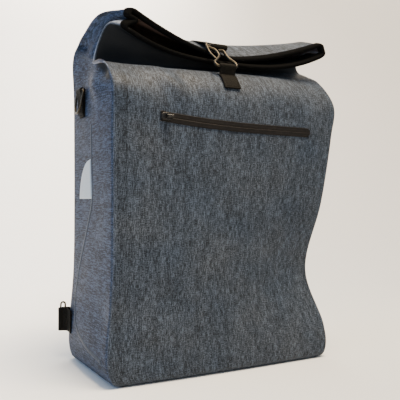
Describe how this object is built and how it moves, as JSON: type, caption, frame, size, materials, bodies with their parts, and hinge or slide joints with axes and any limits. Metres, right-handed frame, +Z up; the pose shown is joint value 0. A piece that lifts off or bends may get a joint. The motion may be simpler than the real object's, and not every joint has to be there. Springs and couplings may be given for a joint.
{
  "type": "bicycle messenger backpack",
  "caption": "Upright roll-top backpack with a folded mouth, a hook and webbing closure, a front zip pocket and padded shoulder straps.",
  "frame": {"origin": "middle of the base, on the surface that the bag stands on", "axes": "+Z up, +X to the right of someone who faces the front panel, +Y from the front panel to the wearer's back"},
  "size_m": [0.3434, 0.2012, 0.4484],
  "materials": {
    "shell_cloth": "grey melange weave, coated",
    "seam_tape": "welded seam in the shell's cloth",
    "binding_tape": "black tape with a slight sheen",
    "zip_tape": "black coated zip tape",
    "zip_metal": "black, satin",
    "webbing": "black woven webbing",
    "hook_metal": "gunmetal, polished",
    "reflective_film": "pale reflective film",
    "strap_padding": "black mesh over foam"
  },
  "bodies": {
    "bag": {"bag_shell": "shell_cloth", "mouth_binding": "binding_tape", "zip_tape": "zip_tape", "zip_teeth": "zip_metal", "zip_slider": "zip_metal", "closure_strap": "webbing", "strap_hook": "hook_metal", "catch_tab": "webbing", "upper_ring_tab_left": "webbing", "lower_eye_tab_left": "webbing", "lower_eye_left": "hook_metal", "side_reflector_left": "reflective_film", "side_seam_left": "seam_tape", "shoulder_pad_left": "strap_padding", "shoulder_tail_left": "webbing", "upper_ring_tab_right": "webbing", "lower_eye_tab_right": "webbing", "lower_eye_right": "hook_metal", "side_reflector_right": "reflective_film", "side_seam_right": "seam_tape", "shoulder_pad_right": "strap_padding", "shoulder_tail_right": "webbing"},
    "upper_ring_left": {"upper_ring_left": "hook_metal"},
    "upper_ring_right": {"upper_ring_right": "hook_metal"},
    "zip_pull": {"zip_pull": "zip_metal"}
  },
  "joints": [
    {"name": "upper_ring_left_hinge", "type": "hinge", "parent": "bag", "child": "upper_ring_left", "pos_m": [-0.15898, 0.03, 0.353], "axis": [0, 1, 0], "range_deg": [0, 150]},
    {"name": "upper_ring_right_hinge", "type": "hinge", "parent": "bag", "child": "upper_ring_right", "pos_m": [0.16383, 0.03, 0.353], "axis": [0, -1, 0], "range_deg": [0, 150]},
    {"name": "zip_pull_hinge", "type": "hinge", "parent": "bag", "child": "zip_pull", "pos_m": [-0.0875, -0.09002, 0.31071], "axis": [-1, 0, 0], "range_deg": [0, 150]}
  ]
}
